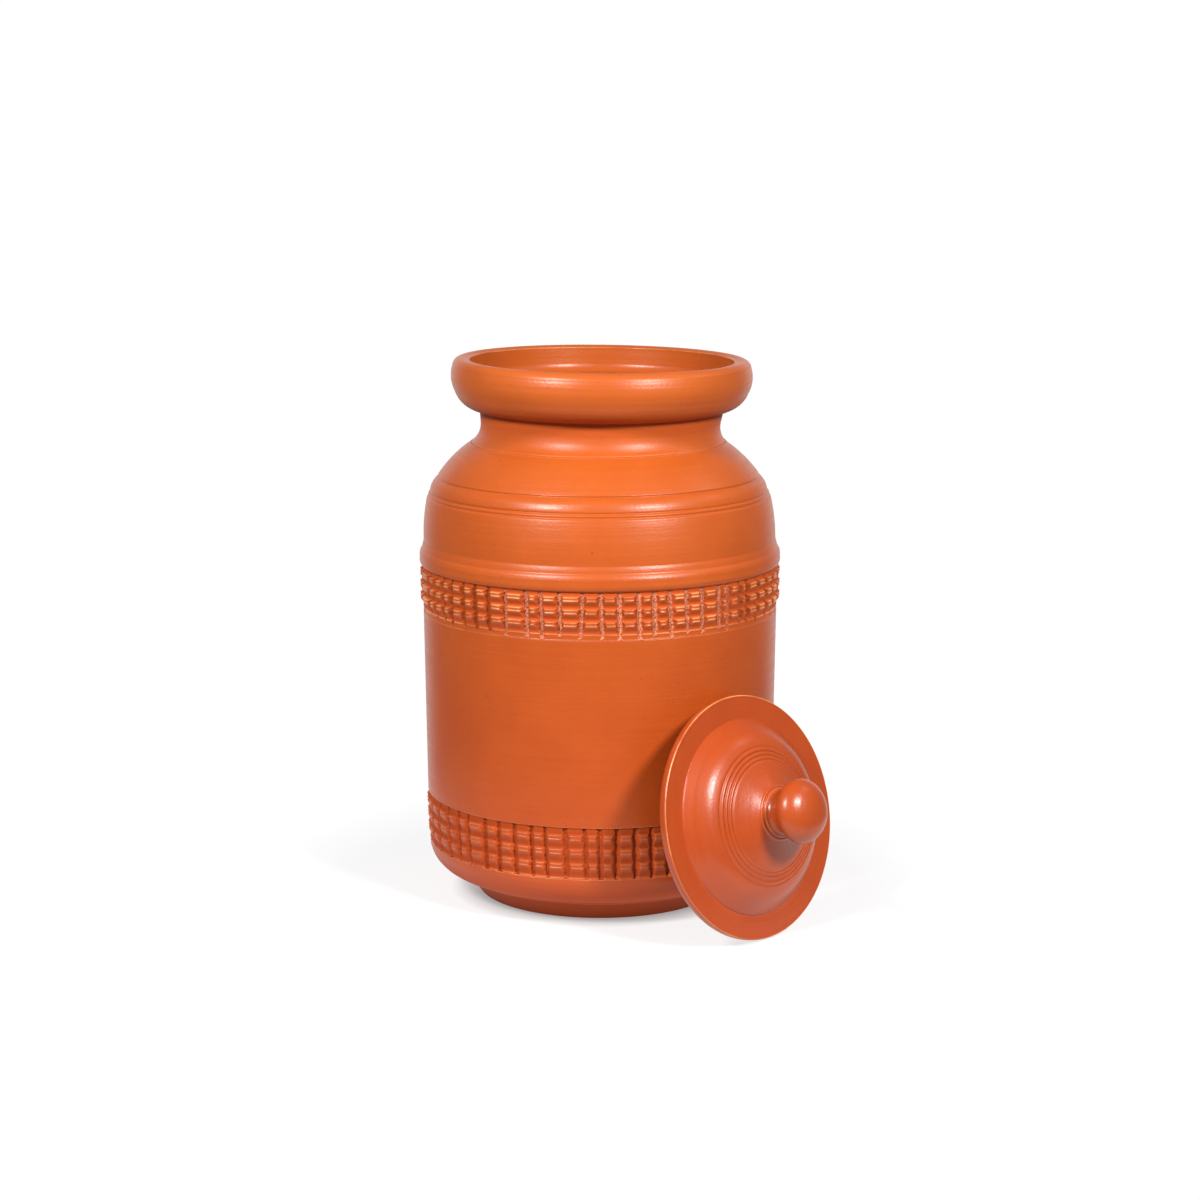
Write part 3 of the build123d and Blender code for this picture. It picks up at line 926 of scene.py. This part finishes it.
CLAY = {slot: fired_clay(slot) for slot in ("burnished_terracotta", "carved_terracotta")}


def dress(piece, node, body, slot):
    """The piece takes its node's place, rides with its body and gets its slot's clay."""
    piece.data.materials.append(CLAY[slot])
    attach(piece, body)
    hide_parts(node)


TURNED_JAR = {
    "foot": (FOOT_OUTLINE, False),
    "body": (BODY_OUTLINE, False),
    "shoulder": (SHOULDER_OUTLINE, True),
    "neck": (NECK_OUTLINE, True),
}
for node, (outline, closed) in TURNED_JAR.items():
    dress(jar_piece(node, outline, closed), node, "jar", "burnished_terracotta")
for node in BANDS:
    dress(carved_band(node), node, "jar", "carved_terracotta")
for node, outline in (("lid", LID_OUTLINE), ("lid_knob", knob_outline())):
    dress(lid_piece(node, outline), node, "lid", "burnished_terracotta")


# Stage: floor, room, lights and camera

def add_floor():
    mesh = bpy.data.meshes.new("floor")
    turns = np.linspace(0, 2 * pi, COLUMNS, endpoint=False)
    ring = [(FLOOR_RADIUS * MM * cos(turn), FLOOR_RADIUS * MM * sin(turn), 0) for turn in turns]
    mesh.from_pydata(ring, [], [list(range(len(ring)))])
    mesh.materials.append(floor_material())
    floor = add_object("floor", mesh)


def around(azimuth, elevation, distance):
    """A place at an azimuth to the right of the camera's, seen from the jar."""
    turn, rise = radians(CAMERA_AZIMUTH + azimuth), radians(elevation)
    return Vector((sin(turn) * cos(rise), -cos(turn) * cos(rise), sin(rise))) * distance * MM


def add_room():
    """A room that is white low down behind the jar, and dim elsewhere."""
    world = bpy.data.worlds.new("room")
    world.use_nodes = True
    world.node_tree.nodes.clear()
    n = Nodes(world.node_tree)
    way = n.add("ShaderNodeTexCoord").outputs["Generated"]
    up = n.add("ShaderNodeSeparateXYZ", {0: way}).outputs["Z"]
    to_camera = around(0, 0, 1 / MM)
    ahead = n.add("ShaderNodeVectorMath", {0: way, 1: to_camera}, operation="DOT_PRODUCT")
    behind = n.span(ahead.outputs["Value"], *ROOM_BEHIND_SPAN, 1.0, 0.0)
    low = n.span(up, *ROOM_LOW_SPAN, 1.0, 0.0)
    strength = n.span(n.math("MULTIPLY", behind, low), 0.0, 1.0, ROOM_DIM, ROOM_WHITE)
    light = n.add("ShaderNodeBackground", {"Color": (1, 1, 1, 1), "Strength": strength})
    n.add("ShaderNodeOutputWorld", {"Surface": light.outputs[0]})
    bpy.context.scene.world = world


def add_soft_box(name, azimuth, elevation, size, power):
    light = bpy.data.lights.new(name, "AREA")
    light.shape = "DISK"
    light.size = size * MM
    light.energy = power
    lamp = add_object(name, light)
    middle = Vector((0, 0, (cad_low.z + cad_high.z) / 2))
    lamp.location = middle + around(azimuth, elevation, BOX_DISTANCE)
    lamp.rotation_euler = (middle - lamp.location).to_track_quat("-Z", "Y").to_euler()


def add_camera():
    camera = bpy.data.cameras.new("camera")
    camera.sensor_width = SENSOR_WIDTH
    camera.lens = SENSOR_WIDTH * FOCAL_PX / PICTURE_PX
    holder = add_object("camera", camera)
    holder.location = around(0, 0, CAMERA_DISTANCE) + Vector((0, 0, CAMERA_HEIGHT * MM))
    holder.rotation_euler = (radians(90 - CAMERA_PITCH), 0, radians(CAMERA_AZIMUTH))
    bpy.context.scene.camera = holder


add_floor()
add_room()
for name, settings in SOFT_BOXES.items():
    add_soft_box(name, *settings)
add_camera()
bpy.context.scene.view_settings.view_transform = "Standard"
